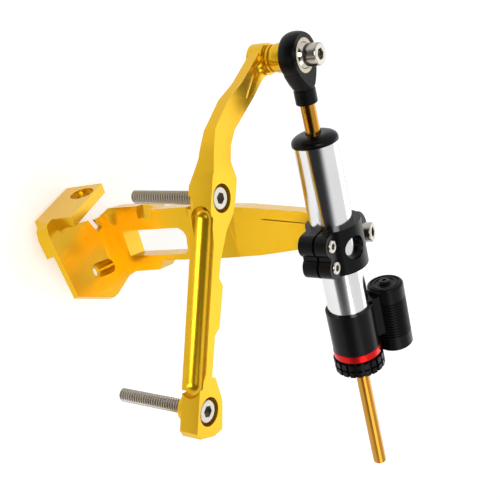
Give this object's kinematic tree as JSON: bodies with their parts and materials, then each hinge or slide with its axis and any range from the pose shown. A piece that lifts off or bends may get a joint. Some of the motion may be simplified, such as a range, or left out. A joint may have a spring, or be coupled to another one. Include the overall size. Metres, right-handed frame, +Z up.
{
  "type": "motorcycle steering damper",
  "caption": "Linear motorcycle steering damper with a through rod, adjuster knob and finned reservoir, in a pinch clamp between a frame bracket and a handlebar bracket.",
  "frame": {"origin": "middle of the counterbored hole in the riser bracket's hook", "axes": "+Z up along the pivot screws and bracket screws, +Y along the damper towards its rod end, +X sideways towards the clamp's eye"},
  "size_m": [0.1902, 0.306, 0.2353],
  "materials": {
    "gold_anodised": "polished, gold anodised",
    "black_anodised": "satin, black anodised",
    "screw_steel": "bright stainless",
    "ball_steel": "polished",
    "liner": "smooth",
    "silver_anodised": "satin, clear anodised",
    "bronze": "sintered",
    "seal_rubber": "matt",
    "red_anodised": "satin, red anodised",
    "black_steel": "black oxide",
    "plain_aluminium": "turned",
    "coated_rod": "polished, gold nitride coating",
    "band_plastic": "filled PTFE",
    "rod_end_plastic": "satin"
  },
  "bodies": {
    "riser": {"riser_bracket": "gold_anodised", "eye_screw": "screw_steel", "eye_ball": "ball_steel"},
    "damper": {"clamp_body": "black_anodised", "clamp_screws": "screw_steel", "eye_liner": "liner", "damper_tube": "silver_anodised", "top_cap": "black_anodised", "top_bush": "bronze", "top_seal": "seal_rubber", "top_o_ring": "seal_rubber", "lower_head": "black_anodised", "lower_bush": "bronze", "lower_seal": "seal_rubber", "lower_o_ring": "seal_rubber", "marker_ring": "red_anodised", "reservoir_cap": "black_anodised", "reservoir_o_ring": "seal_rubber", "reservoir_screw": "black_steel"},
    "gas_separator": {"gas_piston": "plain_aluminium", "gas_piston_o_ring": "seal_rubber"},
    "rod": {"damper_rod": "coated_rod", "piston": "plain_aluminium", "piston_band": "band_plastic", "piston_clips": "black_steel", "rod_end": "rod_end_plastic", "rod_end_liner": "liner"},
    "link": {"link_bracket": "gold_anodised", "link_screws": "screw_steel", "link_spacer": "gold_anodised", "rod_end_ball": "ball_steel", "rod_end_screw": "screw_steel"},
    "adjuster": {"adjuster_knob": "black_anodised", "valve_sleeve": "plain_aluminium", "knob_clip": "black_steel"}
  },
  "joints": [
    {"name": "damper_swing", "type": "hinge", "parent": "riser", "child": "damper", "pos_m": [0.05106, -0.0457, 0.18044], "axis": [0, 0, 1], "range_deg": [-20, 20]},
    {"name": "rod_slide", "type": "slide", "parent": "damper", "child": "rod", "axis": [0, 1, 0], "range_m": [-0.015, 0.06]},
    {"name": "link_swing", "type": "hinge", "parent": "rod", "child": "link", "pos_m": [0.02207, 0.0808, 0.18544], "axis": [0, 0, 1], "range_deg": [-25, 25]},
    {"name": "adjuster_turn", "type": "hinge", "parent": "damper", "child": "adjuster", "pos_m": [0.02207, -0.1252, 0.18544], "axis": [0, 1, 0], "range_deg": [-150, 150]},
    {"name": "gas_piston_slide", "type": "slide", "parent": "damper", "child": "gas_separator", "axis": [0, 1, 0], "range_m": [-0.005, 0.005]}
  ]
}
